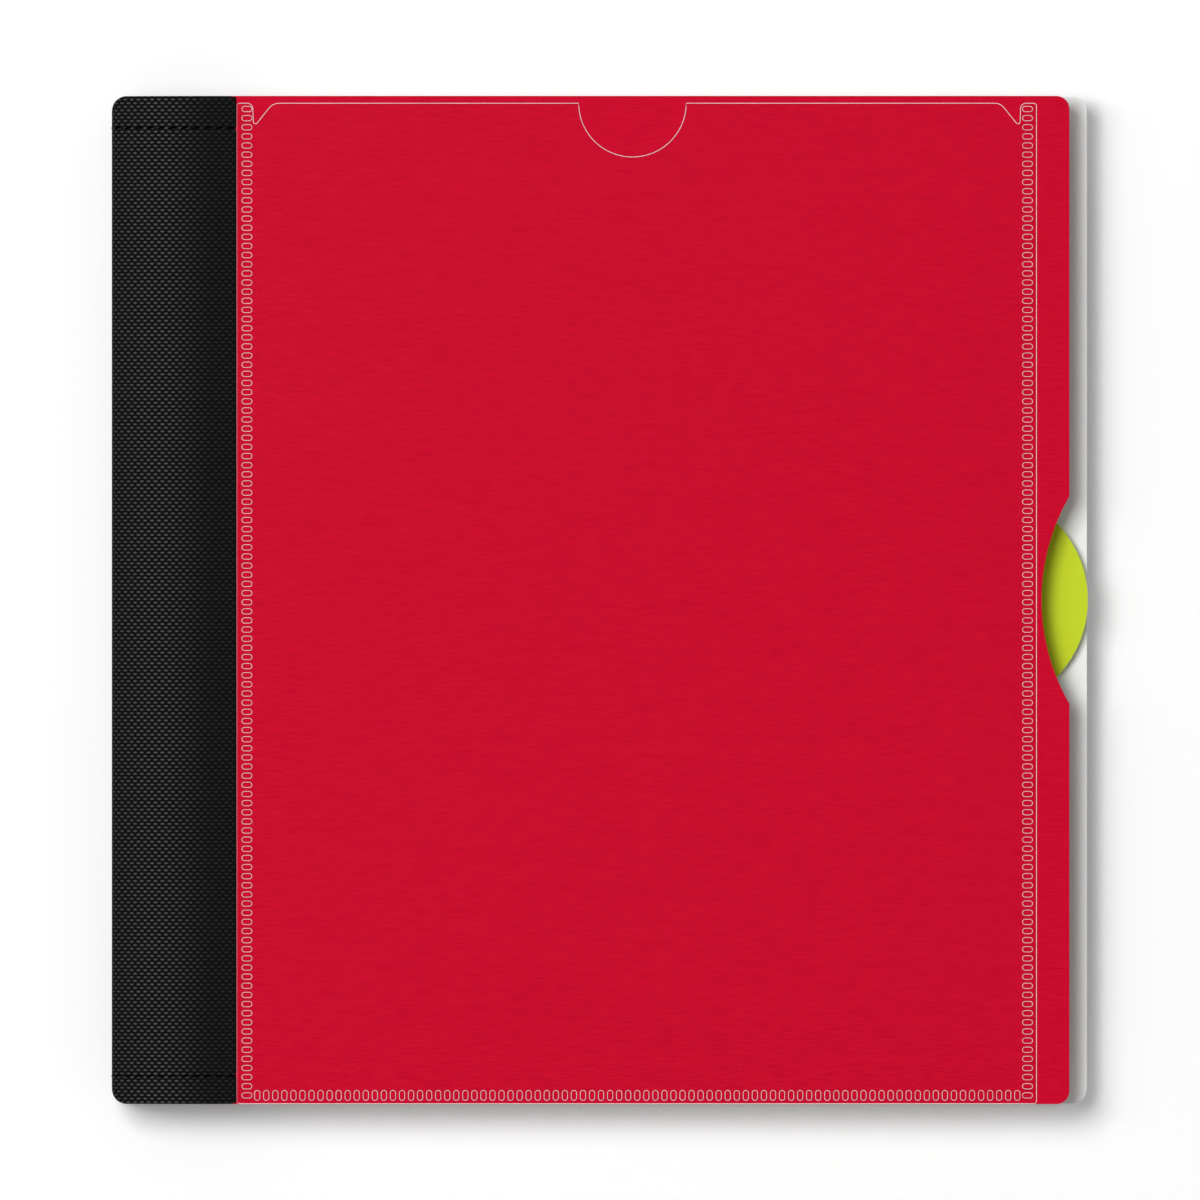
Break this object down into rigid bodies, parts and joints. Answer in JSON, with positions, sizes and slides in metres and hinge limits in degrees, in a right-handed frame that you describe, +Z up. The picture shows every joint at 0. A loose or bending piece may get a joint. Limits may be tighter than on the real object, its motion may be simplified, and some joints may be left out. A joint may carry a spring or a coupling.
{
  "type": "ring-bound stamp album",
  "caption": "Ring-bound stamp album with red covers, a clear front pocket, a black woven spine, a lime index divider and white leaves on snap rings.",
  "frame": {"origin": "centre of the closed album's footprint, on the table under its back cover", "axes": "+X from the spine to the fore edge, +Y along the spine to the head, +Z up from the back cover to the front cover"},
  "size_m": [0.2764, 0.2852, 0.0301],
  "materials": {
    "cover_red": "fine brushed polypropylene",
    "spine_cloth": "plain woven",
    "hinge_black": "matte",
    "lining_black": "non-woven",
    "board_grey": "plain",
    "film_clear": "clear film",
    "ring_chrome": "bright plated",
    "plate_steel": "satin plated",
    "leaf_paper": "uncoated",
    "divider_lime": "satin polypropylene",
    "sheet_white": "satin polypropylene",
    "panel_clear": "frosted film"
  },
  "bodies": {
    "back": {"back_cover": "cover_red", "back_fabric": "spine_cloth", "back_hinge_strip": "hinge_black", "back_lining": "lining_black", "ring_plate": "plate_steel", "rivet_lower": "plate_steel", "rivet_upper": "plate_steel", "trigger_pin_lower": "plate_steel", "trigger_pin_upper": "plate_steel"},
    "spine": {"spine_fabric": "spine_cloth", "spine_board": "board_grey", "spine_lining": "lining_black"},
    "front": {"front_cover": "cover_red", "cover_pocket": "film_clear", "front_fabric": "spine_cloth", "front_hinge_strip": "hinge_black", "front_lining": "lining_black"},
    "front_leaves": {"front_leaf_1": "leaf_paper", "front_leaf_2": "leaf_paper", "front_leaf_3": "leaf_paper", "front_leaf_4": "leaf_paper", "front_leaf_5": "leaf_paper"},
    "divider": {"index_divider": "divider_lime"},
    "middle_leaves": {"middle_leaf_1": "leaf_paper", "middle_leaf_2": "leaf_paper"},
    "back_leaves": {"back_leaf_1": "leaf_paper", "back_leaf_10": "leaf_paper", "back_leaf_2": "leaf_paper", "back_leaf_3": "leaf_paper", "back_leaf_4": "leaf_paper", "back_leaf_5": "leaf_paper", "back_leaf_6": "leaf_paper", "back_leaf_7": "leaf_paper", "back_leaf_8": "leaf_paper", "back_leaf_9": "leaf_paper"},
    "pocket_sheet": {"pocket_leaf": "sheet_white", "pocket_leaf_panel": "panel_clear"},
    "left_rings": {"left_blade": "plate_steel", "left_ring_lower": "ring_chrome", "left_ring_middle": "ring_chrome", "left_ring_upper": "ring_chrome"},
    "right_rings": {"right_blade": "plate_steel", "right_ring_lower": "ring_chrome", "right_ring_middle": "ring_chrome", "right_ring_upper": "ring_chrome"},
    "upper_press": {"upper_trigger": "plate_steel"},
    "lower_press": {"lower_trigger": "plate_steel"}
  },
  "joints": [
    {"name": "spine_hinge", "type": "hinge", "parent": "back", "child": "spine", "pos_m": [-0.13705, 0, 0.0065], "axis": [0, -1, 0], "range_deg": [0, 90]},
    {"name": "cover_hinge", "type": "hinge", "parent": "spine", "child": "front", "pos_m": [-0.13705, 0, 0.0235], "axis": [0, -1, 0], "range_deg": [0, 90]},
    {"name": "front_leaves_turn", "type": "hinge", "parent": "back", "child": "front_leaves", "pos_m": [-0.09825, 0, 0.01405], "axis": [0, -1, 0], "range_deg": [0, 175.5]},
    {"name": "divider_turn", "type": "hinge", "parent": "back", "child": "divider", "pos_m": [-0.09825, 0, 0.01405], "axis": [0, -1, 0], "range_deg": [0, 173.7]},
    {"name": "middle_leaves_turn", "type": "hinge", "parent": "back", "child": "middle_leaves", "pos_m": [-0.09825, 0, 0.01405], "axis": [0, -1, 0], "range_deg": [0, 171.9]},
    {"name": "pocket_sheet_turn", "type": "hinge", "parent": "back", "child": "pocket_sheet", "pos_m": [-0.09825, 0, 0.01405], "axis": [0, -1, 0], "range_deg": [0, 170.1]},
    {"name": "back_leaves_turn", "type": "hinge", "parent": "back", "child": "back_leaves", "pos_m": [-0.09825, 0, 0.01405], "axis": [0, -1, 0], "range_deg": [0, 168.3]},
    {"name": "left_rings_open", "type": "hinge", "parent": "back", "child": "left_rings", "pos_m": [-0.10685, 0, 0.0026], "axis": [0, -1, 0], "range_deg": [0, 8]},
    {"name": "right_rings_open", "type": "hinge", "parent": "back", "child": "right_rings", "pos_m": [-0.08965, 0, 0.0026], "axis": [0, 1, 0], "range_deg": [0, 8]},
    {"name": "upper_trigger_press", "type": "hinge", "parent": "back", "child": "upper_press", "pos_m": [-0.09825, 0.1215, 0.003], "axis": [-1, 0, 0], "range_deg": [0, 10]},
    {"name": "lower_trigger_press", "type": "hinge", "parent": "back", "child": "lower_press", "pos_m": [-0.09825, -0.1215, 0.003], "axis": [1, 0, 0], "range_deg": [0, 10]}
  ],
  "couplings": [
    {"joint": "cover_hinge", "follows": "spine_hinge", "ratio": 1},
    {"joint": "front_leaves_turn", "follows": "spine_hinge", "ratio": 1.95},
    {"joint": "divider_turn", "follows": "spine_hinge", "ratio": 1.93},
    {"joint": "middle_leaves_turn", "follows": "spine_hinge", "ratio": 1.91},
    {"joint": "pocket_sheet_turn", "follows": "spine_hinge", "ratio": 1.89},
    {"joint": "back_leaves_turn", "follows": "spine_hinge", "ratio": 1.87},
    {"joint": "right_rings_open", "follows": "left_rings_open", "ratio": 1},
    {"joint": "upper_trigger_press", "follows": "left_rings_open", "ratio": 1.25},
    {"joint": "lower_trigger_press", "follows": "left_rings_open", "ratio": 1.25}
  ]
}
